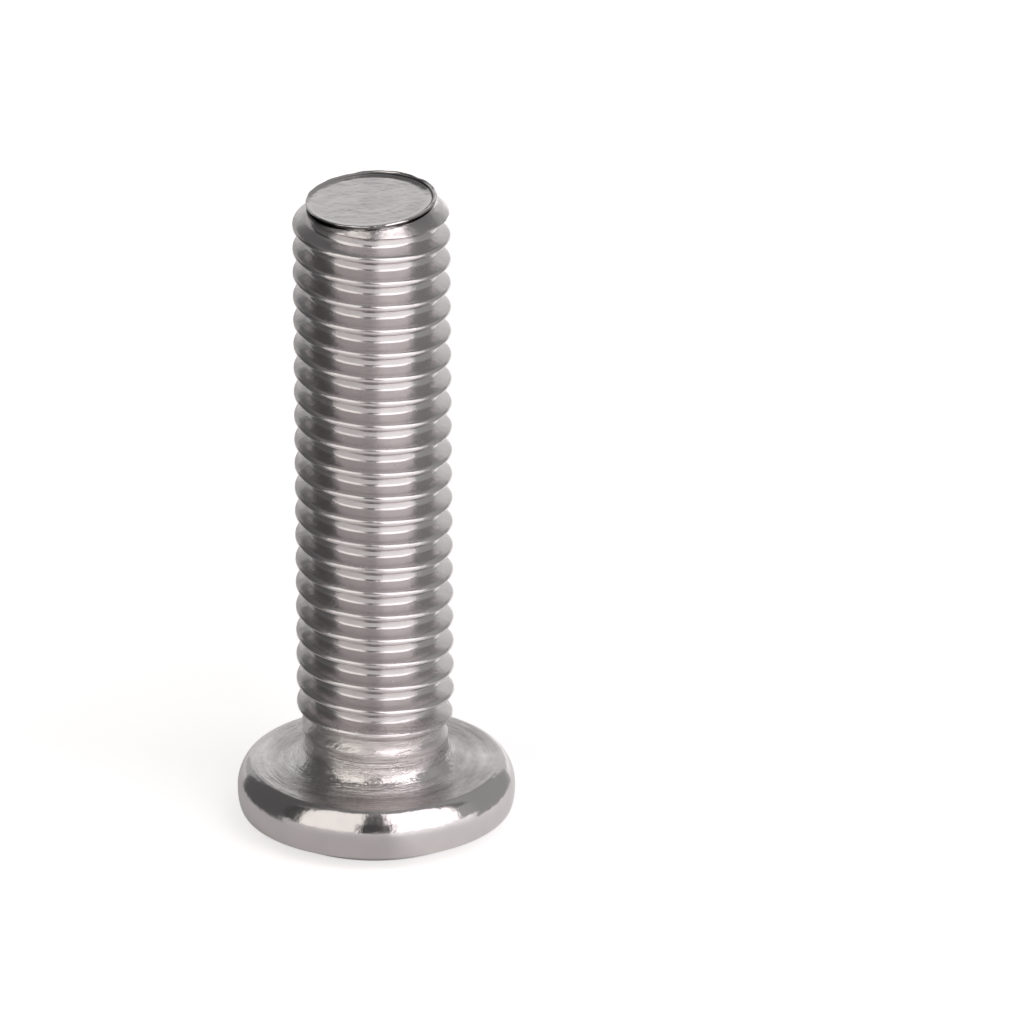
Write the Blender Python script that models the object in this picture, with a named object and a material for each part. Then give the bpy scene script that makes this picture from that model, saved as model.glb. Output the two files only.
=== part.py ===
"""Furniture bolt with a flat chamfered head and a hexagon socket, M6 thread.

The bolt is one piece of steel. Its head is cold formed, with a socket that a
hexagonal punch leaves for the key. Its thread is rolled on, and it is nickel
plated all over. It stands on its head: the origin is the centre of the head's
face on the ground, and +Z runs up the axis to the threaded tip. Lengths are in
metres, and angles round the axis start at +X.
"""

import math

import bmesh
import bpy

MM = 0.001

# Thread: metric coarse, left-hand (+1 turns it into a right-hand one)
THREAD_HAND = -1
PITCH = 1.0 * MM
CREST_DIAMETER = 6.0 * MM
THREAD_DEPTH = 0.50 * MM
CREST_LAND = 0.16 * MM
ROOT_LAND = 0.20 * MM
ROOT_ROUNDING = 0.04 * MM
FIRST_CREST_HEIGHT = 0.96 * MM
RUN_OUT_LENGTH = 1.9 * MM
BLANK_BELOW_CREST = 0.23 * MM

# Shank and tip
LENGTH_UNDER_HEAD = 23.7 * MM
TIP_CHAMFER = 0.53 * MM
TIP_CHAMFER_ANGLE = math.radians(45)

# Lip that rolling the thread throws up round the end face
LIP_STANDOUT = 0.07 * MM
LIP_HEIGHT = 0.24 * MM
LIP_FALL = 0.28 * MM
LIP_HIGH_SIDE = math.radians(30)
LIP_WALL = 0.14 * MM
END_DISH_WIDTH = 0.45 * MM
END_DISH_DEPTH = 0.10 * MM

# Head
HEAD_DIAMETER = 10.7 * MM
HEAD_HEIGHT = 2.5 * MM
CHAMFER_WIDTH = 1.31 * MM
CHAMFER_HEIGHT = 0.70 * MM
EDGE_BREAK = 0.08 * MM
RIM_FOOT_WIDTH = 0.21 * MM
RIM_FOOT_HEIGHT = 0.80 * MM
RIM_CROWN_WIDTH = 0.57 * MM
RIM_CROWN_HEIGHT = 1.0 * MM
RIM_CROWN_FULLNESS = 1.7
NECK_FILLET_WIDTH = 0.95 * MM
NECK_FILLET_HEIGHT = 0.75 * MM

# Hexagon socket for a 4 mm key
SOCKET_ACROSS_FLATS = 4.0 * MM
SOCKET_DEPTH = 2.3 * MM
SOCKET_FLOOR_ANGLE = math.radians(20)
SOCKET_MOUTH_MARGIN = 0.22 * MM
SOCKET_MOUTH_ANGLE = math.radians(35)
PUNCH_OVERRUN = 1.0 * MM

# How finely the round forms are drawn
THREAD_SEGMENTS = 36
HEAD_SEGMENTS = 2 * THREAD_SEGMENTS
HALF_STEP = 0.5
ARC_STEPS = 5
SMALLEST_STEP = 0.06 * MM
SHARP_ANGLE = math.radians(35)

# Sizes that follow from the ones above
CREST_RADIUS = CREST_DIAMETER / 2
ROOT_RADIUS = CREST_RADIUS - THREAD_DEPTH
BLANK_RADIUS = CREST_RADIUS - BLANK_BELOW_CREST
TIP_RADIUS = CREST_RADIUS - TIP_CHAMFER
TIP_HEIGHT = HEAD_HEIGHT + LENGTH_UNDER_HEAD
HEAD_RADIUS = HEAD_DIAMETER / 2
CHAMFER_SLOPE = CHAMFER_HEIGHT / CHAMFER_WIDTH
RIM_FOOT_TOP = CHAMFER_HEIGHT - RIM_FOOT_WIDTH * CHAMFER_SLOPE + RIM_FOOT_HEIGHT
CROWN_HEIGHT = min(RIM_CROWN_HEIGHT, HEAD_HEIGHT - RIM_FOOT_TOP - SMALLEST_STEP)
BEARING_RADIUS = HEAD_RADIUS - RIM_CROWN_WIDTH
SOCKET_CORNER_RADIUS = SOCKET_ACROSS_FLATS / math.sqrt(3)
SOCKET_MOUTH_RADIUS = SOCKET_CORNER_RADIUS + SOCKET_MOUTH_MARGIN
NECK_WIDTH = min(NECK_FILLET_WIDTH, 0.9 * (BEARING_RADIUS - BLANK_RADIUS))
NECK_HEIGHT = HEAD_HEIGHT + NECK_FILLET_HEIGHT


def clear_scene():
    for item in list(bpy.data.objects):
        bpy.data.objects.remove(item, do_unlink=True)


def plated_steel():
    material = bpy.data.materials.new("nickel_plated_steel")
    material.use_nodes = True
    shader = material.node_tree.nodes["Principled BSDF"]
    shader.inputs["Base Color"].default_value = (0.62, 0.58, 0.59, 1.0)
    shader.inputs["Metallic"].default_value = 1.0
    shader.inputs["Roughness"].default_value = 0.18
    return material


def smooth_step(value):
    value = min(max(value, 0.0), 1.0)
    return value * value * (3 - 2 * value)


def arc(centre_radius, centre_height, width, height, start, end):
    """Radius and height of the points of an elliptical arc."""
    points = []
    for step in range(ARC_STEPS + 1):
        angle = start + (end - start) * step / ARC_STEPS
        radius = centre_radius + width * math.cos(angle)
        points.append((radius, centre_height + height * math.sin(angle)))
    return points


def rim_crown():
    """Upper side of the rim: a quarter of an oval, flatter than an ellipse, up to the underside's flat."""
    points = []
    for step in range(ARC_STEPS + 1):
        angle = math.pi / 2 * step / ARC_STEPS
        outward = math.cos(angle) ** (2 / RIM_CROWN_FULLNESS)
        upward = math.sin(angle) ** (2 / RIM_CROWN_FULLNESS)
        points.append((BEARING_RADIUS + RIM_CROWN_WIDTH * outward, HEAD_HEIGHT - CROWN_HEIGHT * (1 - upward)))
    return points


def head_outline():
    """Turned outline of the head, from its face up to the flat of its underside."""
    face_radius = HEAD_RADIUS - CHAMFER_WIDTH
    foot_radius = HEAD_RADIUS - RIM_FOOT_WIDTH
    face_edge = [(face_radius - EDGE_BREAK, 0.0), (face_radius + EDGE_BREAK, EDGE_BREAK * CHAMFER_SLOPE)]
    rim_foot = arc(foot_radius, RIM_FOOT_TOP, RIM_FOOT_WIDTH, RIM_FOOT_HEIGHT, -math.pi / 2, 0)
    return face_edge + rim_foot + rim_crown()


def neck_outline():
    """Turned outline of the fillet from the underside's flat up to the shank."""
    centre = BLANK_RADIUS + NECK_WIDTH
    return arc(centre, NECK_HEIGHT, NECK_WIDTH, NECK_FILLET_HEIGHT, 1.5 * math.pi, math.pi)


def thread_profile():
    """Place along the pitch and radius of each point that one turn of thread is drawn with."""
    crest = CREST_LAND / 2 / PITCH
    root = ROOT_LAND / 2 / PITCH
    return [
        (crest, CREST_RADIUS),
        (0.5 - root, ROOT_RADIUS + ROOT_ROUNDING),
        (0.5, ROOT_RADIUS),
        (0.5 + root, ROOT_RADIUS + ROOT_ROUNDING),
        (1.0 - crest, CREST_RADIUS),
    ]


def lip_top(angle):
    """Top of the lip round the end face, which is higher on one side."""
    return TIP_HEIGHT - LIP_FALL * (1 - math.cos(angle - LIP_HIGH_SIDE)) / 2


def lip_side(angle):
    return lip_top(angle) - LIP_HEIGHT / 2


def lip_foot(angle):
    return lip_top(angle) - LIP_HEIGHT


def shank_radius(radius, height, angle):
    """Radius of the thread with its run-out at the neck and its chamfer at the tip."""
    depth = smooth_step((height - NECK_HEIGHT) / RUN_OUT_LENGTH)
    radius = BLANK_RADIUS + (radius - BLANK_RADIUS) * depth
    chamfer = TIP_RADIUS + (lip_foot(angle) - height) / math.tan(TIP_CHAMFER_ANGLE)
    return min(radius, chamfer)


def add_point(mesh, radius, angle, height):
    return mesh.verts.new((radius * math.cos(angle), radius * math.sin(angle), height))


def add_ring(mesh, count, radius, height, turn=0.0):
    """A ring of points, turned by a share of one step; the height may follow the angle.

    Round forms that the hexagon cuts are turned by half a step, so that none of
    their edges meets one of its corners.
    """
    ring = []
    for index in range(count):
        angle = math.tau * (index + turn) / count
        level = height(angle) if callable(height) else height
        ring.append(add_point(mesh, radius, angle, level))
    return ring


def join_rings(mesh, rings):
    """Faces between each ring and the next, which may have half as many points."""
    for lower, upper in zip(rings, rings[1:]):
        ratio = len(lower) // len(upper)
        for index, corner in enumerate(upper):
            start = index * ratio
            edge = [lower[(start + step) % len(lower)] for step in range(ratio + 1)]
            mesh.faces.new(edge + [upper[(index + 1) % len(upper)], corner])


def close_on_axis(mesh, ring, height):
    """A cone of faces from a ring to a point on the axis."""
    apex = add_point(mesh, 0.0, 0.0, height)
    for index, corner in enumerate(ring):
        mesh.faces.new((corner, ring[(index + 1) % len(ring)], apex))


def thread_columns(mesh):
    """Points of the thread in upright columns, each a mapping from row to point.

    A row runs round the shank along the helix, so that column 0 carries on the
    last column's rows one turn further along. A column stops just short of the
    neck below it and of the lip above it.
    """
    profile = thread_profile()
    first_crest = HEAD_HEIGHT + FIRST_CREST_HEIGHT
    turns = math.ceil(TIP_HEIGHT / PITCH)
    columns = []
    for index in range(THREAD_SEGMENTS):
        turn = index / THREAD_SEGMENTS
        angle = math.tau * turn
        column = {}
        for row in range(-turns * len(profile), turns * len(profile)):
            place, radius = profile[row % len(profile)]
            height = first_crest + PITCH * (row // len(profile) + place + THREAD_HAND * turn)
            if NECK_HEIGHT + SMALLEST_STEP < height < lip_foot(angle) - SMALLEST_STEP:
                column[row] = add_point(mesh, shank_radius(radius, height, angle), angle, height)
        columns.append(column)
    return columns


def join_columns(mesh, columns, neck, lip):
    """Faces between the columns, with their ends sewn to the neck and to the lip."""
    rows_per_turn = THREAD_HAND * len(thread_profile())
    for index, column in enumerate(columns):
        following = (index + 1) % THREAD_SEGMENTS
        shift = 0 if following else rows_per_turn
        neighbour = {row - shift: point for row, point in columns[following].items()}
        shared = sorted(set(column) & set(neighbour))
        for row in shared[:-1]:
            mesh.faces.new((column[row], neighbour[row], neighbour[row + 1], column[row + 1]))
        here_below = [column[row] for row in sorted(column, reverse=True) if row <= shared[0]]
        there_below = [neighbour[row] for row in sorted(neighbour) if row <= shared[0]]
        mesh.faces.new(here_below + [neck[index], neck[following]] + there_below)
        there_above = [neighbour[row] for row in sorted(neighbour) if row >= shared[-1]]
        here_above = [column[row] for row in sorted(column, reverse=True) if row >= shared[-1]]
        mesh.faces.new(there_above + [lip[following], lip[index]] + here_above)


def add_head(mesh):
    """The head from the mouth of its socket to the underside's flat; returns the flat's edge."""
    steepness = math.tan(SOCKET_MOUTH_ANGLE)
    cone_radius = SOCKET_ACROSS_FLATS / 3
    cone_depth = (SOCKET_MOUTH_RADIUS - cone_radius) * steepness
    rings = [add_ring(mesh, HEAD_SEGMENTS, radius, height) for radius, height in head_outline()]
    join_rings(mesh, rings)
    mouth = add_ring(mesh, THREAD_SEGMENTS, SOCKET_MOUTH_RADIUS, 0.0, HALF_STEP)
    cone_end = add_ring(mesh, THREAD_SEGMENTS, cone_radius, cone_depth, HALF_STEP)
    face_edge = rings[0][1:] + rings[0][:1]
    join_rings(mesh, [face_edge, mouth, cone_end])
    mesh.faces.new(cone_end)
    return rings[-1]


def add_end(mesh, foot):
    """The lip round the end face and the shallow dish inside it."""
    lip_outer = add_ring(mesh, THREAD_SEGMENTS, TIP_RADIUS + LIP_STANDOUT, lip_side)
    lip_crown = add_ring(mesh, THREAD_SEGMENTS, TIP_RADIUS, lip_top)
    lip_inner = add_ring(mesh, THREAD_SEGMENTS, TIP_RADIUS - LIP_WALL, lip_side)
    dish_height = TIP_HEIGHT - (LIP_HEIGHT + LIP_FALL) / 2 - END_DISH_DEPTH
    dish = add_ring(mesh, THREAD_SEGMENTS, TIP_RADIUS - LIP_WALL - END_DISH_WIDTH, dish_height)
    join_rings(mesh, [foot, lip_outer, lip_crown, lip_inner, dish])
    mesh.faces.new(dish)


def blank_with_thread(mesh):
    """Head, neck, thread and tip as one closed skin, still without the socket."""
    bearing_edge = add_head(mesh)
    neck = [add_ring(mesh, THREAD_SEGMENTS, radius, height) for radius, height in neck_outline()]
    join_rings(mesh, [bearing_edge] + neck)
    foot = add_ring(mesh, THREAD_SEGMENTS, TIP_RADIUS, lip_foot)
    join_columns(mesh, thread_columns(mesh), neck[-1], foot)
    add_end(mesh, foot)


def mesh_object(name, fill):
    """An object whose mesh is drawn by the given function."""
    mesh = bmesh.new()
    fill(mesh)
    many_sided = [face for face in mesh.faces if len(face.verts) > 4]
    bmesh.ops.triangulate(mesh, faces=many_sided, ngon_method="BEAUTY")
    bmesh.ops.recalc_face_normals(mesh, faces=mesh.faces)
    data = bpy.data.meshes.new(name)
    mesh.to_mesh(data)
    mesh.free()
    item = bpy.data.objects.new(name, data)
    bpy.context.scene.collection.objects.link(item)
    return item


def cutter(name, fill):
    item = mesh_object(name, fill)
    item.hide_render = True
    item.display_type = "WIRE"
    return item


def add_boolean(item, tool, operation):
    modifier = item.modifiers.new(tool.name, "BOOLEAN")
    modifier.operation = operation
    modifier.solver = "EXACT"
    modifier.object = tool


def socket_punch():
    """The hexagonal punch, whose end is turned to a blunt cone."""
    steepness = math.tan(SOCKET_FLOOR_ANGLE)
    apex = SOCKET_DEPTH + SOCKET_CORNER_RADIUS * steepness
    shoulder = apex - SOCKET_MOUTH_RADIUS * steepness

    def hexagonal_bar(mesh):
        low = add_ring(mesh, 6, SOCKET_CORNER_RADIUS, -PUNCH_OVERRUN)
        high = add_ring(mesh, 6, SOCKET_CORNER_RADIUS, apex + PUNCH_OVERRUN)
        join_rings(mesh, [low, high])
        mesh.faces.new(low)
        mesh.faces.new(high)

    def pointed_rod(mesh):
        low = add_ring(mesh, THREAD_SEGMENTS, SOCKET_MOUTH_RADIUS, -2 * PUNCH_OVERRUN, HALF_STEP)
        high = add_ring(mesh, THREAD_SEGMENTS, SOCKET_MOUTH_RADIUS, shoulder, HALF_STEP)
        join_rings(mesh, [low, high])
        mesh.faces.new(low)
        close_on_axis(mesh, high, apex)

    punch = cutter("socket_punch", hexagonal_bar)
    add_boolean(punch, cutter("punch_nose", pointed_rod), "INTERSECT")
    return punch


def bolt():
    item = mesh_object("bolt", blank_with_thread)
    item.data.materials.append(plated_steel())
    item.data.shade_smooth()
    item.data.set_sharp_from_angle(angle=SHARP_ANGLE)
    add_boolean(item, socket_punch(), "DIFFERENCE")


def main():
    clear_scene()
    bolt()


main()
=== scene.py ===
# %% [markdown]
# # A nickel-plated furniture bolt
#
# The real thing is one piece of steel. A header forms the head and punches the hexagon socket, two dies
# roll the thread, and a bath leaves a bright layer of nickel. It stands on its head. This lesson draws its
# surface round the fixed model of the part, which gives the true sizes, and then lights it as a small
# product photograph.

# %% Load the fixed model
import math

import bmesh
import bpy
from mathutils import Matrix, Vector


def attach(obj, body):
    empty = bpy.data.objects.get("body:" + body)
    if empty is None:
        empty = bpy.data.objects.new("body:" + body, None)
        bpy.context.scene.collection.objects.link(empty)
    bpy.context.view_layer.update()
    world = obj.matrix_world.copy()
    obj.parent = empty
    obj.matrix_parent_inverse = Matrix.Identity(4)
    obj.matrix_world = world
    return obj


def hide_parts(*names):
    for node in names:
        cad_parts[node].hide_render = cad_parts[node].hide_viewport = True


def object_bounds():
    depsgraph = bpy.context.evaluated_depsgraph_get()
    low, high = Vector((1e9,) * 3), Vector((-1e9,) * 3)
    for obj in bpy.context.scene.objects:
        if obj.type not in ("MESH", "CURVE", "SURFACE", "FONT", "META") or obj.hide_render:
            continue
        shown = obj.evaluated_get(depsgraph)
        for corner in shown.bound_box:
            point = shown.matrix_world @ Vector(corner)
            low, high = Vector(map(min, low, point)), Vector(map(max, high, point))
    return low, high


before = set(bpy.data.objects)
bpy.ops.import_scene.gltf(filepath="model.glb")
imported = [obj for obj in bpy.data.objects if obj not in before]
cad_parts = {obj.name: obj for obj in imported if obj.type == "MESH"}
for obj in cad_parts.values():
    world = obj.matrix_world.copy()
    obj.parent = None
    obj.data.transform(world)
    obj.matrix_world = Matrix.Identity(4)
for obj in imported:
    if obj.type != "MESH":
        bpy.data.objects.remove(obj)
model_low, model_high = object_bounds()
MM = 0.001
print("model, mm:", [round(side / MM, 2) for side in model_high - model_low])

# %% [markdown]
# ## Sizes
#
# The two overall sizes come from the fixed model. The others are those of the turned outline and of the
# rolled thread, as on an M6 bolt with a 1 mm pitch and a socket for a 4 mm key.

# %% Sizes of the bolt
TIP_HEIGHT = model_high.z
HEAD_RADIUS = model_high.x

PITCH = 1.0 * MM
CREST_RADIUS = 3.04 * MM
THREAD_DEPTH = 0.567 * MM
CREST_LAND = 0.205 * MM
ROOT_LAND = 0.387 * MM
CREST_ROUNDING = 0.303 * MM
ROOT_ROUNDING = 0.451 * MM
CHAMFER_ROUNDING = 0.10 * MM
THREAD_HAND = -1
FIRST_CREST_HEIGHT = 3.485 * MM
BLANK_RADIUS = 2.77 * MM
RUN_OUT_LENGTH = 1.9 * MM

HEAD_HEIGHT = 2.5 * MM
NECK_FILLET_WIDTH = 0.95 * MM
NECK_FILLET_HEIGHT = 0.75 * MM
NECK_HEIGHT = HEAD_HEIGHT + NECK_FILLET_HEIGHT

TIP_RADIUS = 2.47 * MM
LIP_HEIGHT = 0.24 * MM
LIP_FALL = 0.28 * MM
LIP_HIGH_SIDE = math.radians(30)

SEGMENTS = 144
ROWS_PER_PITCH = 26
print("round steps:", SEGMENTS, "rows in each turn of thread:", ROWS_PER_PITCH)

# %% [markdown]
# ## Two helpers
#
# Every node tree below is built by one small function. It takes the node's kind, its settings, and a value
# or another node for each input. An input is given by its number where that is shorter: on a Map Range
# node, 0 is the value, 1 and 2 are the range it comes from and 3 and 4 the range it goes to. The second
# function turns a colour as a screen shows it into the linear light values that Blender works in.

# %% Helpers for nodes and colours
def add_node(tree, kind, settings=None, inputs=None):
    node = tree.nodes.new(kind)
    for name, value in (settings or {}).items():
        setattr(node, name, value)
    for socket, value in (inputs or {}).items():
        if isinstance(value, bpy.types.Node):
            value = value.outputs[0]
        if isinstance(value, bpy.types.NodeSocket):
            tree.links.new(value, node.inputs[socket])
        else:
            node.inputs[socket].default_value = value
    return node


def linear(screen_hex):
    shares = [int(screen_hex[place:place + 2], 16) / 255 for place in (1, 3, 5)]
    light = [share / 12.92 if share <= 0.04045 else ((share + 0.055) / 1.055) ** 2.4 for share in shares]
    return (*light, 1.0)


print("screen grey #808080 as linear light:", round(linear("#808080")[0], 3))

# %% [markdown]
# ## Nickel plate
#
# Bright nickel over steel is a smooth, slightly warm mirror. It copies the steel under it, and each zone of
# the bolt was worked in its own way. The rim is almost a mirror with a slight ripple. The rolled thread is
# hazier. The neck and the underside of the head keep the fine rings and the broader strokes that the tools
# left. So the material first works out which zone a point is in, and then how much of each mark it gets.

# %% Where the tools left their marks
MARKS_FADE_UP = (4.3 * MM, 5.3 * MM)
MARKS_LEFT_ON_THREAD = 0.03
UNDERSIDE_BEGINS = (2.2 * MM, 2.45 * MM)
RINGS_FADE_OUT = (3.3 * MM, 4.9 * MM)
RINGS_LEFT_ON_RIM = 0.12
STROKES_FADE_OUT = (4.5 * MM, 4.8 * MM)


def worked_zones(tree, height, reach):
    """The shares of the rings and of the strokes, both 0 on the rim's side, the chamfer and the face."""
    fade_up = {0: height, 1: MARKS_FADE_UP[0], 2: MARKS_FADE_UP[1], 3: 1.0, 4: MARKS_LEFT_ON_THREAD}
    up_thread = add_node(tree, "ShaderNodeMapRange", None, fade_up)
    begin = {0: height, 1: UNDERSIDE_BEGINS[0], 2: UNDERSIDE_BEGINS[1], 3: 0.0, 4: 1.0}
    over_face = add_node(tree, "ShaderNodeMapRange", None, begin)
    worked = add_node(tree, "ShaderNodeMath", {"operation": "MULTIPLY"}, {0: up_thread, 1: over_face})
    fade_out = {0: reach, 1: RINGS_FADE_OUT[0], 2: RINGS_FADE_OUT[1], 3: 1.0, 4: RINGS_LEFT_ON_RIM}
    inside_rim = add_node(tree, "ShaderNodeMapRange", None, fade_out)
    ringed = add_node(tree, "ShaderNodeMath", {"operation": "MULTIPLY"}, {0: worked, 1: inside_rim})
    fade_out = {0: reach, 1: STROKES_FADE_OUT[0], 2: STROKES_FADE_OUT[1], 3: 1.0, 4: 0.0}
    on_flat = add_node(tree, "ShaderNodeMapRange", None, fade_out)
    stroked = add_node(tree, "ShaderNodeMath", {"operation": "MULTIPLY"}, {0: worked, 1: on_flat})
    return ringed, stroked


print("tool marks fade out, mm up the thread:", [round(height / MM, 2) for height in MARKS_FADE_UP])

# %% [markdown]
# ## Tool marks
#
# The rings and the strokes are noise that is long round the axis and short across it. The real rings are
# finer than a pixel of the picture, so they are drawn as wide as they need to be to show. The strokes are
# the broader light and dark marks of the header's die.

# %% Rings and strokes
RING_WIDTH = 0.156 * MM
RING_LENGTH = 2.5 * MM
STROKE_WIDTH = 0.78 * MM
STROKE_CONTRAST = (0.32, 0.68)


def tool_marks(tree, parts, reach):
    along = add_node(tree, "ShaderNodeMath", {"operation": "ADD"}, {0: reach, 1: parts[2]})
    place = add_node(tree, "ShaderNodeCombineXYZ", None, {0: parts[0], 1: parts[1], 2: along})
    ring_scale = (1 / RING_LENGTH, 1 / RING_LENGTH, 1 / RING_WIDTH)
    place = add_node(tree, "ShaderNodeVectorMath", {"operation": "MULTIPLY"}, {0: place, 1: ring_scale})
    rings = add_node(tree, "ShaderNodeTexNoise", None,
                     {"Vector": place, "Scale": 1.0, "Detail": 5.0, "Roughness": 0.65})
    broader = (1.0, 1.0, RING_WIDTH / STROKE_WIDTH)
    place = add_node(tree, "ShaderNodeVectorMath", {"operation": "MULTIPLY"}, {0: place, 1: broader})
    strokes = add_node(tree, "ShaderNodeTexNoise", None, {"Vector": place, "Scale": 1.0, "Detail": 2.0})
    strokes = add_node(tree, "ShaderNodeMapRange", None,
                       {0: strokes, 1: STROKE_CONTRAST[0], 2: STROKE_CONTRAST[1], 3: 0.0, 4: 1.0})
    return rings, strokes


print("ring width and stroke width, mm:", round(RING_WIDTH / MM, 3), round(STROKE_WIDTH / MM, 3))

# %% [markdown]
# ## Painted shade in the fold
#
# Rolling pushes a lip up round the tip, with a narrow fold under it. The fold is painted dark, as painted
# shade in the crease. The painted band leans with the lip, and it is widest on the left, where the lip is
# low;
# that widening is also a painted dark reflection. The mask is the height above a leaning plane, held to a
# narrow band of reach.

# %% Mask of the fold
# Painted shade in the fold under the lip, widened on the left into a painted dark reflection
FOLD_BELOW_TOP = 0.155 * MM
FOLD_HALF_HEIGHT = (0.06 * MM, 0.10 * MM)
FOLD_OUTER_EDGE = (TIP_RADIUS - 0.05 * MM, TIP_RADIUS + 0.01 * MM)
FOLD_INNER_EDGE = TIP_RADIUS - 0.15 * MM
FOLD_SHADE_DARKNESS = 0.95
FOLD_WIDENS = (-2.4 * MM, -0.6 * MM)
FOLD_WIDENING = 0.09 * MM


def painted_fold_shade(tree, place, parts, reach):
    """The share of painted shade: nearly 1 in the fold and 0 elsewhere."""
    lean = LIP_FALL / 2 / TIP_RADIUS
    upright = (-lean * math.cos(LIP_HIGH_SIDE), -lean * math.sin(LIP_HIGH_SIDE), 1.0)
    level = add_node(tree, "ShaderNodeVectorMath", {"operation": "DOT_PRODUCT"}, {0: place, 1: upright})
    fold_level = TIP_HEIGHT - LIP_FALL / 2 - FOLD_BELOW_TOP
    above = add_node(tree, "ShaderNodeMath", {"operation": "SUBTRACT"},
                     {0: level.outputs["Value"], 1: fold_level})
    wider = add_node(tree, "ShaderNodeMapRange", None,
                     {0: parts[0], 1: FOLD_WIDENS[0], 2: FOLD_WIDENS[1], 3: FOLD_WIDENING, 4: 0.0})
    above = add_node(tree, "ShaderNodeMath", {"operation": "ADD"}, {0: above, 1: wider})
    off_fold = add_node(tree, "ShaderNodeMath", {"operation": "ABSOLUTE"}, {0: above})
    off_fold = add_node(tree, "ShaderNodeMath", {"operation": "SUBTRACT"}, {0: off_fold, 1: wider})
    at_level = add_node(tree, "ShaderNodeMapRange", None,
                        {0: off_fold, 1: FOLD_HALF_HEIGHT[0], 2: FOLD_HALF_HEIGHT[1], 3: 1.0, 4: 0.0})
    outer = add_node(tree, "ShaderNodeMath", {"operation": "SUBTRACT"}, {0: reach, 1: wider})
    inside = add_node(tree, "ShaderNodeMapRange", None,
                      {0: outer, 1: FOLD_OUTER_EDGE[0], 2: FOLD_OUTER_EDGE[1], 3: FOLD_SHADE_DARKNESS, 4: 0.0})
    off_face = add_node(tree, "ShaderNodeMath", {"operation": "GREATER_THAN"}, {0: reach, 1: FOLD_INNER_EDGE})
    fold_shade = add_node(tree, "ShaderNodeMath", {"operation": "MULTIPLY"}, {0: at_level, 1: inside})
    return add_node(tree, "ShaderNodeMath", {"operation": "MULTIPLY"}, {0: fold_shade, 1: off_face})


print("fold below the lip's top, mm:", round(FOLD_BELOW_TOP / MM, 3))

# %% [markdown]
# ## The plating itself
#
# Nickel is a metal, so it has no colour of its own apart from that of its mirror. Three noises break the
# mirror up: a haze about a millimetre wide, a ripple that bends the reflections, and a grain. The real
# grain is finer than a pixel, so it too is drawn as wide as it needs to be to show.

# %% Bright nickel over rolled steel
HAZE_SIZE = 1.1 * MM
RIPPLE_SIZE = 0.385 * MM
GRAIN_SIZE = 0.09 * MM
RING_DEPTH = 0.16 * MM
RIPPLE_DEPTH = 0.012 * MM
GRAIN_DEPTH = 0.0012 * MM
HAZE_CONTRAST = (0.3, 0.7)
HAZE_ROUGHNESS = (0.10, 0.19)
THREAD_ROUGHNESS = 0.09
RING_ROUGHNESS = 0.06
THREAD_BEGINS = (2.6 * MM, 3.6 * MM)
THREAD_ENDS = (TIP_HEIGHT - 0.6 * MM, TIP_HEIGHT - 0.35 * MM)


def roughness(tree, height, haze, ringed):
    """The haze everywhere, more of it on the thread, and some more where the tool rings are."""
    spread = {0: haze, 1: HAZE_CONTRAST[0], 2: HAZE_CONTRAST[1], 3: HAZE_ROUGHNESS[0], 4: HAZE_ROUGHNESS[1]}
    clear = add_node(tree, "ShaderNodeMapRange", None, spread)
    rolled = add_node(tree, "ShaderNodeMapRange", None,
                      {0: height, 1: THREAD_BEGINS[0], 2: THREAD_BEGINS[1], 3: 0.0, 4: THREAD_ROUGHNESS})
    below_face = add_node(tree, "ShaderNodeMapRange", None,
                          {0: height, 1: THREAD_ENDS[0], 2: THREAD_ENDS[1], 3: 1.0, 4: 0.0})
    rough = add_node(tree, "ShaderNodeMath", {"operation": "MULTIPLY_ADD"},
                     {0: rolled, 1: below_face, 2: clear})
    return add_node(tree, "ShaderNodeMath", {"operation": "MULTIPLY_ADD"},
                    {0: ringed, 1: RING_ROUGHNESS, 2: rough})


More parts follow.
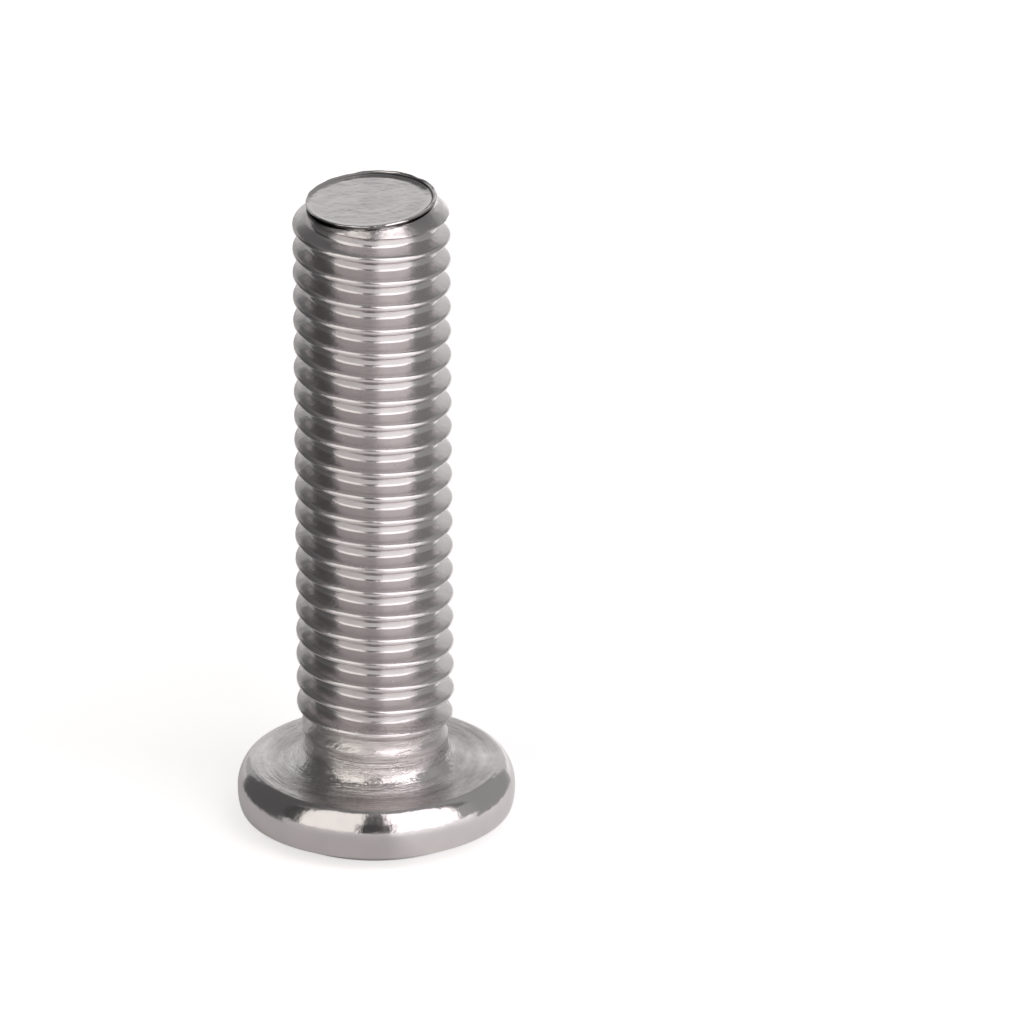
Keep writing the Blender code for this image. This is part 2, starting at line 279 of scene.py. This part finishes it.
def nickel_plated_steel():
    material = bpy.data.materials.new("bright_nickel_over_rolled_steel")
    material.use_nodes = True
    tree = material.node_tree
    shader = tree.nodes["Principled BSDF"]
    shader.inputs["Metallic"].default_value = 1.0

    place = add_node(tree, "ShaderNodeTexCoord").outputs["Object"]
    parts = add_node(tree, "ShaderNodeSeparateXYZ", None, {0: place}).outputs
    across = add_node(tree, "ShaderNodeCombineXYZ", None, {0: parts[0], 1: parts[1]})
    reach = add_node(tree, "ShaderNodeVectorMath", {"operation": "LENGTH"}, {0: across}).outputs["Value"]
    ringed, stroked = worked_zones(tree, parts[2], reach)
    rings, strokes = tool_marks(tree, parts, reach)
    fold_shade = painted_fold_shade(tree, place, parts, reach)

    haze, ripple, grain = [
        add_node(tree, "ShaderNodeTexNoise", None, {"Vector": place, "Scale": 1 / size, "Detail": 3.0})
        for size in (HAZE_SIZE, RIPPLE_SIZE, GRAIN_SIZE)
    ]

    # The haze varies the layer's tint a little, and the die's strokes are lighter and darker than that
    layer = add_node(tree, "ShaderNodeMix", {"data_type": "RGBA"},
                     {0: haze, 6: linear("#D3D0CE"), 7: linear("#C6C1C3")}).outputs[2]
    drawn = add_node(tree, "ShaderNodeMix", {"data_type": "RGBA"},
                     {0: strokes, 6: linear("#BBB6B4"), 7: linear("#E9E6E5")}).outputs[2]
    plate = add_node(tree, "ShaderNodeMix", {"data_type": "RGBA"},
                     {0: stroked, 6: layer, 7: drawn}).outputs[2]
    # The fold under the lip is painted nearly black, as painted shade
    colour = add_node(tree, "ShaderNodeMix", {"data_type": "RGBA"}, {0: fold_shade, 6: plate, 7: linear("#1E1B1A")})

    ring_height = add_node(tree, "ShaderNodeMath", {"operation": "MULTIPLY"}, {0: rings, 1: ringed})
    bump = add_node(tree, "ShaderNodeBump", None, {"Distance": RING_DEPTH, "Height": ring_height})
    bump = add_node(tree, "ShaderNodeBump", None,
                    {"Distance": RIPPLE_DEPTH, "Height": ripple, "Normal": bump})
    bump = add_node(tree, "ShaderNodeBump", None,
                    {"Distance": GRAIN_DEPTH, "Height": grain, "Normal": bump})
    rough = roughness(tree, parts[2], haze, ringed)
    tree.links.new(colour.outputs[2], shader.inputs["Base Color"])
    tree.links.new(rough.outputs[0], shader.inputs["Roughness"])
    tree.links.new(bump.outputs[0], shader.inputs["Normal"])
    return material


plating = nickel_plated_steel()
print("plating:", plating.name, "nodes:", len(plating.node_tree.nodes))

# %% [markdown]
# ## The rolled thread
#
# A thread is a rule: every point of the shank lies at a radius that depends only on how far up its turn it
# is. So Geometry Nodes draw it. A flat grid is wrapped round the axis, and each of its rows climbs by one
# pitch in a turn, so that the rows run along the crests and the seam closes on itself one turn further up.

# %% The rule of the thread
TURNS_BELOW_FIRST_CREST = 3
TOP_GAP = 0.002 * MM

THREAD_SIZES = {
    "pitch": PITCH,
    "hand": THREAD_HAND,
    "crest radius": CREST_RADIUS,
    "root radius": CREST_RADIUS - THREAD_DEPTH,
    "half crest land": CREST_LAND / 2,
    "flank slope": THREAD_DEPTH / ((PITCH - CREST_LAND - ROOT_LAND) / 2),
    "crest rounding": CREST_ROUNDING,
    "root rounding": ROOT_ROUNDING,
    "chamfer rounding": CHAMFER_ROUNDING,
    "start height": FIRST_CREST_HEIGHT - TURNS_BELOW_FIRST_CREST * PITCH,
    "turns": 28.0,
    "blank radius": BLANK_RADIUS,
    "neck height": NECK_HEIGHT,
    "run-out length": RUN_OUT_LENGTH,
    "tip radius": TIP_RADIUS,
    "lip foot": TIP_HEIGHT - LIP_HEIGHT,
    "lip fall": LIP_FALL,
    "high side": LIP_HIGH_SIDE,
}

THREAD_RULE = [
    ("turn", "ADD", "grid across", 0.5),
    ("angle", "MULTIPLY", "turn", math.tau),
    ("grid share", "ADD", "grid up", 0.5),
    ("climb", "MULTIPLY", "grid share", "turns"),
    ("wound turn", "MULTIPLY_ADD", "turn", "hand", "climb"),
    ("free height", "MULTIPLY_ADD", "wound turn", "pitch", "start height"),
    ("from high side", "SUBTRACT", "angle", "high side"),
    ("high share", "COSINE", "from high side"),
    ("low share", "SUBTRACT", 1.0, "high share"),
    ("full fall", "MULTIPLY", "low share", "lip fall"),
    ("fall", "MULTIPLY", "full fall", 0.5),
    ("top", "SUBTRACT", "lip foot", "fall"),
    ("below top", "MINIMUM", "free height", "top"),
    ("height", "MAXIMUM", "below top", "neck height"),
    ("nearest crest", "ROUND", "climb"),
    ("from crest", "SUBTRACT", "climb", "nearest crest"),
    ("past crest", "ABSOLUTE", "from crest"),
    ("way down", "MULTIPLY", "past crest", "pitch"),
    ("down flank", "SUBTRACT", "way down", "half crest land"),
    ("flank depth", "MULTIPLY", "down flank", "flank slope"),
    ("flank", "SUBTRACT", "crest radius", "flank depth"),
    ("crested", "SMOOTH_MIN", "flank", "crest radius", "crest rounding"),
    ("profile", "SMOOTH_MAX", "crested", "root radius", "root rounding"),
    ("above neck", "SUBTRACT", "height", "neck height"),
    ("run-out share", "DIVIDE", "above neck", "run-out length"),
    ("part depth", "MINIMUM", "run-out share", 1.0),
    ("depth squared", "MULTIPLY", "part depth", "part depth"),
    ("ease", "MULTIPLY_ADD", "part depth", -2.0, 3.0),
    ("depth", "MULTIPLY", "depth squared", "ease"),
    ("full cut", "SUBTRACT", "profile", "blank radius"),
    ("cut", "MULTIPLY_ADD", "full cut", "depth", "blank radius"),
    ("below lip", "SUBTRACT", "top", "height"),
    ("cone", "ADD", "tip radius", "below lip"),
    ("chamfered", "SMOOTH_MIN", "cut", "cone", "chamfer rounding"),
    ("near top", "SUBTRACT", "top", TOP_GAP),
    ("at lip", "GREATER_THAN", "free height", "near top"),
    ("to lip", "SUBTRACT", "tip radius", "chamfered"),
    ("radius", "MULTIPLY_ADD", "to lip", "at lip", "chamfered"),
    ("cosine", "COSINE", "angle"),
    ("sine", "SINE", "angle"),
    ("x", "MULTIPLY", "radius", "cosine"),
    ("y", "MULTIPLY", "radius", "sine"),
]
print("steps in the rule:", len(THREAD_RULE))

# %% The node tree of the thread
SEAM_GAP = 0.008 * MM


def thread_tree():
    tree = bpy.data.node_groups.new("rolled_thread", "GeometryNodeTree")
    for name in THREAD_SIZES:
        tree.interface.new_socket(name=name, in_out="INPUT", socket_type="NodeSocketFloat")
    tree.interface.new_socket(name="Mesh", in_out="OUTPUT", socket_type="NodeSocketGeometry")
    given = add_node(tree, "NodeGroupInput").outputs

    rows = round(THREAD_SIZES["turns"]) * ROWS_PER_PITCH
    grid = add_node(tree, "GeometryNodeMeshGrid", None,
                    {"Size X": 1.0, "Size Y": 1.0, "Vertices X": SEGMENTS + 1, "Vertices Y": rows + 1})
    place = add_node(tree, "ShaderNodeSeparateXYZ", None, {0: add_node(tree, "GeometryNodeInputPosition")})

    known = {name: given[name] for name in THREAD_SIZES}
    known["grid across"] = place.outputs[0]
    known["grid up"] = place.outputs[1]
    for name, operation, *terms in THREAD_RULE:
        inputs = {index: known.get(term, term) for index, term in enumerate(terms)}
        known[name] = add_node(tree, "ShaderNodeMath", {"operation": operation}, inputs)

    spot = add_node(tree, "ShaderNodeCombineXYZ", None, {0: known["x"], 1: known["y"], 2: known["height"]})
    wrapped = add_node(tree, "GeometryNodeSetPosition", None, {"Geometry": grid, "Position": spot})
    closed = add_node(tree, "GeometryNodeMergeByDistance", None, {"Geometry": wrapped, "Distance": SEAM_GAP})
    real = add_node(tree, "GeometryNodeRealizeInstances", None, {"Geometry": closed})
    plated = add_node(tree, "GeometryNodeSetMaterial", None, {"Geometry": real, "Material": plating})
    add_node(tree, "NodeGroupOutput", None, {0: plated})
    return tree


print("the seam closes within, mm:", round(SEAM_GAP / MM, 3))


# %% Wrap the thread and keep it as a plain mesh
def thread_mesh():
    holder = bpy.data.objects.new("thread_holder", bpy.data.meshes.new("thread_holder"))
    bpy.context.scene.collection.objects.link(holder)
    modifier = holder.modifiers.new("rolled_thread", "NODES")
    modifier.node_group = thread_tree()
    for socket in modifier.node_group.interface.items_tree:
        if socket.in_out == "INPUT":
            modifier[socket.identifier] = THREAD_SIZES[socket.name]
    evaluated = holder.evaluated_get(bpy.context.evaluated_depsgraph_get())
    mesh = bpy.data.meshes.new_from_object(evaluated)
    bpy.data.objects.remove(holder)
    return mesh


thread = thread_mesh()
print("thread faces:", len(thread.polygons))

# %% [markdown]
# ## The head and the tip
#
# Everything else is turned, so it is a stack of rings. A ring's radius or height may follow the angle,
# which is how the hexagon socket and the uneven lip at the tip are drawn with the same function.

# %% Rings and the skin between them
def add_ring(mesh, radius, height):
    ring = []
    for index in range(SEGMENTS):
        angle = math.tau * index / SEGMENTS
        reach = radius(angle) if callable(radius) else radius
        level = height(angle) if callable(height) else height
        ring.append(mesh.verts.new((reach * math.cos(angle), reach * math.sin(angle), level)))
    return ring


def add_skin(mesh, stations):
    rings = [add_ring(mesh, radius, height) for radius, height in stations]
    for lower, upper in zip(rings, rings[1:]):
        for index in range(SEGMENTS):
            following = (index + 1) % SEGMENTS
            mesh.faces.new((lower[index], lower[following], upper[following], upper[index]))
    return rings


def close_on_axis(mesh, ring, height):
    apex = mesh.verts.new((0.0, 0.0, height))
    for index in range(SEGMENTS):
        mesh.faces.new((ring[index], apex, ring[(index + 1) % SEGMENTS]))


def arc(centre_radius, centre_height, width, height, start, end, steps):
    points = []
    for step in range(steps + 1):
        angle = math.radians(start + (end - start) * step / steps)
        points.append((centre_radius + width * math.cos(angle), centre_height + height * math.sin(angle)))
    return points


print("points in each ring:", SEGMENTS)


# %% [markdown]
# ## The head
#
# The head could be turned from a curve by a modifier. Here its outline is a list of radii and heights,
# because the same rings also make the socket. A wide chamfer leads from the face to the rim. The rim's foot
# is a quarter of an ellipse, and its crown rolls over to a flat bearing ring, as a header leaves it.

# %% The head's turned outline
CHAMFER_WIDTH = 1.31 * MM
CHAMFER_HEIGHT = 0.70 * MM
CHAMFER_SLOPE = CHAMFER_HEIGHT / CHAMFER_WIDTH
RIM_FOOT_WIDTH = 0.21 * MM
RIM_FOOT_HEIGHT = 0.80 * MM
RIM_CROWN_WIDTH = 0.57 * MM
RIM_CROWN_HEIGHT = 1.0 * MM
RIM_CROWN_FULLNESS = 1.7
RIM_CROWN_CROWDING = 1.3
EDGE_BREAK = 0.05 * MM
EDGE_PROFILE = ((-2, 0.0), (-1, 0.05), (0, 0.3), (1, 1.0))
BEARING_RADIUS = HEAD_RADIUS - RIM_CROWN_WIDTH


def rim_crown(steps):
    """The rim's upper side: a quarter of an oval flatter than an ellipse, its points crowding outwards."""
    points = []
    for step in range(1, steps):
        angle = math.pi / 2 * (step / steps) ** RIM_CROWN_CROWDING
        outward = math.cos(angle) ** (2 / RIM_CROWN_FULLNESS)
        upward = math.sin(angle) ** (2 / RIM_CROWN_FULLNESS)
        radius = BEARING_RADIUS + RIM_CROWN_WIDTH * outward
        height = HEAD_HEIGHT - RIM_CROWN_HEIGHT * (1 - upward)
        points.append((radius, height))
    return points


def head_outline():
    """From the face's edge out along the chamfer, up the rim, and in over the bearing ring to the neck."""
    face = HEAD_RADIUS - CHAMFER_WIDTH
    rise = EDGE_BREAK * CHAMFER_SLOPE
    foot = HEAD_RADIUS - RIM_FOOT_WIDTH
    foot_top = (CHAMFER_WIDTH - RIM_FOOT_WIDTH) * CHAMFER_SLOPE + RIM_FOOT_HEIGHT
    outline = [(face + across * EDGE_BREAK, share * rise) for across, share in EDGE_PROFILE]
    outline += arc(foot, foot_top, RIM_FOOT_WIDTH, RIM_FOOT_HEIGHT, -90, 0, 12)
    outline += rim_crown(24)
    outline += [(BEARING_RADIUS, HEAD_HEIGHT), (BEARING_RADIUS - 2 * EDGE_BREAK, HEAD_HEIGHT)]
    neck_centre = BLANK_RADIUS + NECK_FILLET_WIDTH
    outline += arc(neck_centre, NECK_HEIGHT, NECK_FILLET_WIDTH, NECK_FILLET_HEIGHT, 270, 180, 14)
    return outline


print("rings in the head:", len(head_outline()))

# %% [markdown]
# ## The socket
#
# A punch with a blunt cone at its end makes the socket, so the floor is a cone whose point lies deepest. The
# mouth is a shallow round countersink, which meets the hexagon in six low arches. Both come from rings whose
# height follows the hexagon's radius.

# %% The hexagon socket
SOCKET_ACROSS_FLATS = 4.0 * MM
SOCKET_DEPTH = 2.3 * MM
SOCKET_FLOOR_SLOPE = math.tan(math.radians(20))
SOCKET_MOUTH_SLOPE = math.tan(math.radians(35))
SOCKET_MOUTH_MARGIN = 0.22 * MM
SOCKET_CORNER_RADIUS = SOCKET_ACROSS_FLATS / math.sqrt(3)
SOCKET_MOUTH_RADIUS = SOCKET_CORNER_RADIUS + SOCKET_MOUTH_MARGIN
SOCKET_APEX = SOCKET_DEPTH + SOCKET_CORNER_RADIUS * SOCKET_FLOOR_SLOPE


def hexagon(angle):
    """Radius of the hexagon at an angle; a corner lies on +X."""
    from_flat = (angle % math.radians(60)) - math.radians(30)
    return SOCKET_ACROSS_FLATS / 2 / math.cos(from_flat)


def socket_floor(share):
    """A ring of the conical floor, at a share of the way from the middle to the flats."""
    def reach(angle):
        return share * hexagon(angle)

    def level(angle):
        return SOCKET_APEX - share * hexagon(angle) * SOCKET_FLOOR_SLOPE

    return reach, level


def socket_mouth(angle):
    return (SOCKET_MOUTH_RADIUS - hexagon(angle)) * SOCKET_MOUTH_SLOPE


def socket_stations():
    stations = [socket_floor(0.2), socket_floor(0.6), socket_floor(1.0), (hexagon, socket_mouth)]
    stations += [(SOCKET_MOUTH_RADIUS, 0.0), (SOCKET_MOUTH_RADIUS + EDGE_BREAK, 0.0)]
    return stations


print("height of the socket's point, mm:", round(SOCKET_APEX / MM, 2))

# %% [markdown]
# ## The lip at the tip
#
# The dies squeeze the end of the blank outwards, and it curls into a thin, uneven lip. The lip is high at
# the back right and low at the front left. The end face inside it is nearly flat and leans the same way,
# but less. So the lip is one small section, whose points move in and out and up and down with the angle.

# %% The lip at the tip
FACE_RADIUS = TIP_RADIUS - 0.17 * MM
FACE_LEAN = 0.075 * MM
FACE_DEPTH = 0.235 * MM
FOLD_DEPTH = 0.12 * MM
LIP_SPREAD = 0.14 * MM
LIP_UNDERCUT = {"stand_out": -0.02 * MM, "below_top": 0.235 * MM}
FOLD_SECTION = (0.20 * MM, 0.11 * MM)
LIP_SECTION = [
    {"stand_out": 0.03 * MM, "ragged_out": 0.01 * MM, "below_top": 0.09 * MM, "ragged_down": 0.0},
    {"stand_out": 0.06 * MM, "ragged_out": 0.02 * MM, "below_top": 0.06 * MM, "ragged_down": 0.0},
    {"stand_out": 0.05 * MM, "ragged_out": 0.02 * MM, "below_top": 0.03 * MM, "ragged_down": 0.02 * MM},
    {"stand_out": 0.01 * MM, "ragged_out": 0.02 * MM, "below_top": 0.0, "ragged_down": 0.03 * MM},
    {"stand_out": -0.05 * MM, "ragged_out": 0.02 * MM, "below_top": 0.01 * MM, "ragged_down": 0.03 * MM},
]
INNER_EDGE = {"stand_out": -0.10 * MM, "ragged_out": 0.01 * MM, "below_top": 0.03 * MM}
FACE_INSETS = (0.0, 0.15 * MM)


def lip_fall(angle):
    return LIP_FALL * (1 - math.cos(angle - LIP_HIGH_SIDE)) / 2


def ragged(angle):
    """Uneven edge of the lip, between about -1 and 1."""
    return (math.sin(5 * angle + 1.0) + 0.7 * math.sin(11 * angle + 2.3) + 0.5 * math.sin(23 * angle)) / 2.2


def lip_level(below_top, unevenness=0.0):
    return lambda angle: TIP_HEIGHT - lip_fall(angle) - below_top - unevenness * (1 - ragged(angle)) / 2


def lip_reach(stand_out, unevenness=0.0):
    return lambda angle: TIP_RADIUS + stand_out + unevenness * ragged(angle)


def fold_reach(angle):
    """The fold under the lip, deep at the sides and shallow at the front and the back."""
    return TIP_RADIUS - FOLD_DEPTH * (0.3 + 0.7 * math.cos(angle) ** 2)


print("lip below its highest point, mm, at its low side:", round(LIP_FALL / MM, 2))


# %% The end face and the whole tip
def face_reach(inset):
    """The lip is broadest on its high side, so the flat part of the face is narrower there."""
    return lambda angle: FACE_RADIUS - inset - LIP_SPREAD * (1 + math.cos(angle - LIP_HIGH_SIDE)) / 2


def face_level(reach):
    """The end face leans the same way as the lip, but less."""
    lean = FACE_LEAN * reach / FACE_RADIUS
    return lambda angle: TIP_HEIGHT - FACE_DEPTH + lean * math.cos(angle - LIP_HIGH_SIDE)


def inner_slope(angle):
    """Halfway down from the lip to the face."""
    return (lip_level(INNER_EDGE["below_top"])(angle) + face_level(FACE_RADIUS)(angle)) / 2


def tip_stations():
    stations = [(TIP_RADIUS, lip_level(LIP_HEIGHT))]
    stations.append((lip_reach(LIP_UNDERCUT["stand_out"]), lip_level(LIP_UNDERCUT["below_top"])))
    stations += [(fold_reach, lip_level(below_top)) for below_top in FOLD_SECTION]
    for point in LIP_SECTION:
        reach = lip_reach(point["stand_out"], point["ragged_out"])
        stations.append((reach, lip_level(point["below_top"], point["ragged_down"])))
    stations.append((lip_reach(INNER_EDGE["stand_out"], INNER_EDGE["ragged_out"]), inner_slope))
    for inset in FACE_INSETS:
        stations.append((face_reach(inset), face_level(FACE_RADIUS - inset)))
    stations.append((FACE_RADIUS / 2, face_level(FACE_RADIUS / 2)))
    return stations


print("rings in the tip:", len(tip_stations()))

# %% [markdown]
# ## One closed skin
#
# The real bolt has no joint between head, thread and tip, so the three meshes are welded into one. Edges
# that turn by more than the given angle stay crisp, and the rest is shaded smooth.

# %% Weld the bolt
CRISP_ANGLE = math.radians(38)
WELD_GAP = 0.004 * MM


def bolt():
    mesh = bmesh.new()
    mesh.from_mesh(thread)
    head = add_skin(mesh, socket_stations() + head_outline())
    close_on_axis(mesh, head[0], SOCKET_APEX)
    tip = add_skin(mesh, tip_stations())
    close_on_axis(mesh, tip[-1], TIP_HEIGHT - FACE_DEPTH)
    rims = [point for point in mesh.verts if point.is_boundary]
    bmesh.ops.remove_doubles(mesh, verts=rims, dist=WELD_GAP)
    bmesh.ops.recalc_face_normals(mesh, faces=mesh.faces)
    open_edges = sum(not edge.is_manifold for edge in mesh.edges)
    data = bpy.data.meshes.new("furniture_bolt")
    mesh.to_mesh(data)
    mesh.free()
    data.materials.clear()
    data.materials.append(plating)
    data.shade_smooth()
    data.set_sharp_from_angle(angle=CRISP_ANGLE)
    item = bpy.data.objects.new("furniture_bolt", data)
    bpy.context.scene.collection.objects.link(item)
    print("bolt faces:", len(data.polygons), "open edges:", open_edges)
    return item


furniture_bolt = bolt()
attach(furniture_bolt, "root")
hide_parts("bolt")

# %% [markdown]
# ## The table
#
# A mirror shows its surroundings, so the surroundings are designed. The table is matt and pale, and a glow
# of its own makes it white to the camera. The glow lights nothing but the metal, so the bolt's soft shadow
# stays on the table. The metal sees a share of the glow, larger on the right than on the left, with a step in
# front of the bolt, and larger away from the bolt than near it. So in the metal the table shows a painted
# pool of light on the side of the right soft light and a painted shadow round the bolt.

# %% Who sees the glow
WHITE = linear("#FFFFFF")


def seen_directly(tree, share_for_metal):
    """1 for rays from the camera or through glass, a share for rays off metal, 0 for diffuse light."""
    path = add_node(tree, "ShaderNodeLightPath").outputs
    in_metal = add_node(tree, "ShaderNodeMath", {"operation": "MULTIPLY"},
                        {0: path["Is Glossy Ray"], 1: share_for_metal})
    seen = add_node(tree, "ShaderNodeMath", {"operation": "MAXIMUM"}, {0: path["Is Camera Ray"], 1: in_metal})
    return add_node(tree, "ShaderNodeMath", {"operation": "MAXIMUM"},
                    {0: seen, 1: path["Is Transmission Ray"]})


print("white as linear light:", WHITE)


# %% The table
TABLE_RADIUS = 6.0
TABLE_GLOW = 0.6
STEP_ACROSS = (1.0, 0.158, 0.0)
STEP_WIDTH = (-0.5 * MM, 1.5 * MM)
LEFT_SHARE = 0.4
RIGHT_SHARE = 1.25
NEAR_AND_FAR = (5 * MM, 22 * MM)
NEAR_PAINTED_SHADOW_SHARE = 0.40


def white_table():
    material = bpy.data.materials.new("white_table_top")
    material.use_nodes = True
    tree = material.node_tree
    tree.nodes.clear()
    matt = add_node(tree, "ShaderNodeBsdfDiffuse", None, {"Color": linear("#E0DEDE")})
    place = add_node(tree, "ShaderNodeTexCoord").outputs["Object"]
    # A painted pool of light: the metal sees more of the glow on the right, the side of the right soft light,
    # with a step at the edge of that light
    side = add_node(tree, "ShaderNodeVectorMath", {"operation": "DOT_PRODUCT"}, {0: place, 1: STEP_ACROSS})
    side = side.outputs["Value"]
    painted_light_sideways = add_node(tree, "ShaderNodeMapRange", None,
                        {0: side, 1: STEP_WIDTH[0], 2: STEP_WIDTH[1], 3: LEFT_SHARE, 4: RIGHT_SHARE})
    # A painted shadow: the metal sees less of the glow near the bolt
    away = add_node(tree, "ShaderNodeVectorMath", {"operation": "LENGTH"}, {0: place}).outputs["Value"]
    outward = add_node(tree, "ShaderNodeMapRange", None,
                       {0: away, 1: NEAR_AND_FAR[0], 2: NEAR_AND_FAR[1], 3: NEAR_PAINTED_SHADOW_SHARE, 4: 1.0})
    share = add_node(tree, "ShaderNodeMath", {"operation": "MULTIPLY"}, {0: painted_light_sideways, 1: outward})
    seen = seen_directly(tree, share)
    glow = add_node(tree, "ShaderNodeMath", {"operation": "MULTIPLY"}, {0: seen, 1: TABLE_GLOW})
    light = add_node(tree, "ShaderNodeEmission", None, {"Color": WHITE, "Strength": glow})
    both = add_node(tree, "ShaderNodeAddShader", None, {0: matt, 1: light})
    add_node(tree, "ShaderNodeOutputMaterial", None, {0: both})
    return material


def table_top():
    mesh = bmesh.new()
    bmesh.ops.create_circle(mesh, cap_ends=True, radius=TABLE_RADIUS, segments=96)
    data = bpy.data.meshes.new("table_top")
    mesh.to_mesh(data)
    mesh.free()
    data.materials.append(white_table())
    item = bpy.data.objects.new("table_top", data)
    bpy.context.scene.collection.objects.link(item)


table_top()
print("table radius, m:", TABLE_RADIUS)

# %% [markdown]
# ## The background
#
# The background is white to the camera and to the metal. To the matt table it is only a soft light all
# round, so that the shadow under the bolt isn't lit away.

# %% The background
SOFT_LIGHT_ALL_ROUND = 0.35

world = bpy.data.worlds.new("white_background")
world.use_nodes = True
bpy.context.scene.world = world
world_tree = world.node_tree
background = world_tree.nodes["Background"]
background.inputs["Color"].default_value = WHITE
backdrop_level = add_node(world_tree, "ShaderNodeMapRange", None,
                          {0: seen_directly(world_tree, 1.0), 3: SOFT_LIGHT_ALL_ROUND, 4: 1.0})
world_tree.links.new(backdrop_level.outputs[0], background.inputs["Strength"])
print("light from the background:", SOFT_LIGHT_ALL_ROUND)

# %% [markdown]
# ## Soft lights and cards
#
# Two tall soft lights stand to the left and the right of the camera with a dark gap between them, and grey
# and dark cards stand beside and behind the table and hang over it. They are parts of a large sphere round
# the bolt, so an azimuth and an elevation place them. They are seen in the metal, but not by the camera
# itself.

# %% Soft lights and cards
CARD_DISTANCE = 1.2
CARD_STEP = 4.0


def stage_glow(name, mesh, level, colour="#FFFFFF"):
    """Put a card on the stage that gives off an even light and isn't seen by the camera itself."""
    data = bpy.data.meshes.new(name)
    mesh.to_mesh(data)
    mesh.free()
    material = bpy.data.materials.new(name)
    material.use_nodes = True
    tree = material.node_tree
    tree.nodes.clear()
    light = add_node(tree, "ShaderNodeEmission", None, {"Color": linear(colour), "Strength": level})
    add_node(tree, "ShaderNodeOutputMaterial", None, {0: light})
    data.materials.append(material)
    item = bpy.data.objects.new(name, data)
    item.visible_camera = False
    bpy.context.scene.collection.objects.link(item)
    return item


def steps_between(span):
    """A span in degrees, cut into even steps of about CARD_STEP, as angles in radians."""
    count = max(1, round((span[1] - span[0]) / CARD_STEP))
    return [math.radians(span[0] + (span[1] - span[0]) * step / count) for step in range(count + 1)]


def add_card(name, azimuths, elevations, level, colour="#FFFFFF", distance=CARD_DISTANCE):
    """A part of the sphere round the bolt, in degrees; azimuth 0 is the camera's side and 90 the right."""
    mesh = bmesh.new()
    columns = []
    for side in steps_between(azimuths):
        column = []
        for rise in steps_between(elevations):
            x = math.sin(side) * math.cos(rise)
            y = -math.cos(side) * math.cos(rise)
            column.append(mesh.verts.new(Vector((x, y, math.sin(rise))) * distance))
        columns.append(column)
    for left, right in zip(columns, columns[1:]):
        for row in range(len(left) - 1):
            mesh.faces.new((left[row], left[row + 1], right[row + 1], right[row]))
    stage_glow(name, mesh, level, colour)


print("distance of the cards, m:", CARD_DISTANCE)

# %% Lights beside the camera, with the gap between them
add_card("left_soft_light", (-66, -12), (0, 66), 1.35, "#FFFBF6")
add_card("right_soft_light", (9, 71), (0, 66), 2.1, "#FFF8FA")
add_card("dark_gap", (-12, 9), (0, 66), 0.08)
add_card("dark_gap_foot", (-15, 14), (0, 24), 0.06, distance=0.97 * CARD_DISTANCE)

# %% Cards at the sides, behind and overhead
add_card("left_dark_card", (-118, -66), (0, 42), 0.06)
add_card("left_upper_card", (-118, -66), (42, 66), 0.22)
add_card("right_low_card", (71, 140), (0, 28), 0.45)
add_card("right_grey_card", (71, 140), (28, 66), 0.22)
add_card("left_back_low_card", (-160, -118), (0, 30), 0.52)
add_card("left_back_card", (-180, -118), (30, 66), 0.14)
add_card("back_low_card", (160, 200), (0, 30), 0.82)
add_card("right_back_low_card", (140, 160), (0, 30), 0.75)
add_card("right_back_card", (140, 180), (30, 66), 0.35)
add_card("left_ceiling", (-180, 0), (66, 90), 0.24)
add_card("right_ceiling", (0, 180), (66, 90), 0.36)

# %% [markdown]
# ## Two small cards on the table
#
# The large cards are so far away that the table shows in front of them on every flank that faces down. Two
# small upright cards stand close to the bolt, a dark one on the left and a grey one on the right, and hide
# part of the table from the metal.

# %% Two small cards that stand on the table beside the bolt
FLAG_DISTANCE = 12 * MM
FLAG_HEIGHT = 26 * MM
FLAG_FOOT = 0.1 * MM


def add_flag(name, azimuths, level):
    """An upright card that only the metal sees, so that it leaves no shadow on the table."""
    mesh = bmesh.new()
    feet = []
    tops = []
    for side in steps_between(azimuths):
        x = FLAG_DISTANCE * math.sin(side)
        y = -FLAG_DISTANCE * math.cos(side)
        feet.append(mesh.verts.new((x, y, FLAG_FOOT)))
        tops.append(mesh.verts.new((x, y, FLAG_HEIGHT)))
    for column in range(len(feet) - 1):
        mesh.faces.new((feet[column], tops[column], tops[column + 1], feet[column + 1]))
    item = stage_glow(name, mesh, level)
    item.visible_diffuse = False
    item.visible_shadow = False


add_flag("left_flag", (-118, -66), 0.12)
add_flag("right_flag", (71, 122), 0.40)

# %% [markdown]
# ## The camera
#
# The photograph looks down on the bolt by 24 degrees through a long lens, and the bolt stands left of the
# middle. The picture's top is turned a little against the bolt.

# %% Camera
CAMERA_ELEVATION = math.radians(24.0)
CAMERA_ROLL = math.radians(-0.42)
CAMERA_DISTANCE = 1.4
CAMERA_LENS = 1280.6
NEAREST_SEEN = 0.01
AIM = Vector((5.305 * MM, 0.0, 12.85 * MM))


def add_camera():
    data = bpy.data.cameras.new("photo_camera")
    data.lens = CAMERA_LENS
    data.clip_start = NEAREST_SEEN
    item = bpy.data.objects.new("photo_camera", data)
    bpy.context.scene.collection.objects.link(item)
    back = Vector((0.0, -math.cos(CAMERA_ELEVATION), math.sin(CAMERA_ELEVATION)))
    turn = (-back).to_track_quat("-Z", "Y").to_matrix().to_4x4() @ Matrix.Rotation(CAMERA_ROLL, 4, "Z")
    item.matrix_world = Matrix.Translation(AIM + back * CAMERA_DISTANCE) @ turn
    bpy.context.scene.camera = item


add_camera()
bpy.context.scene.view_settings.view_transform = "Standard"
print("camera's height in degrees:", round(math.degrees(CAMERA_ELEVATION), 1))
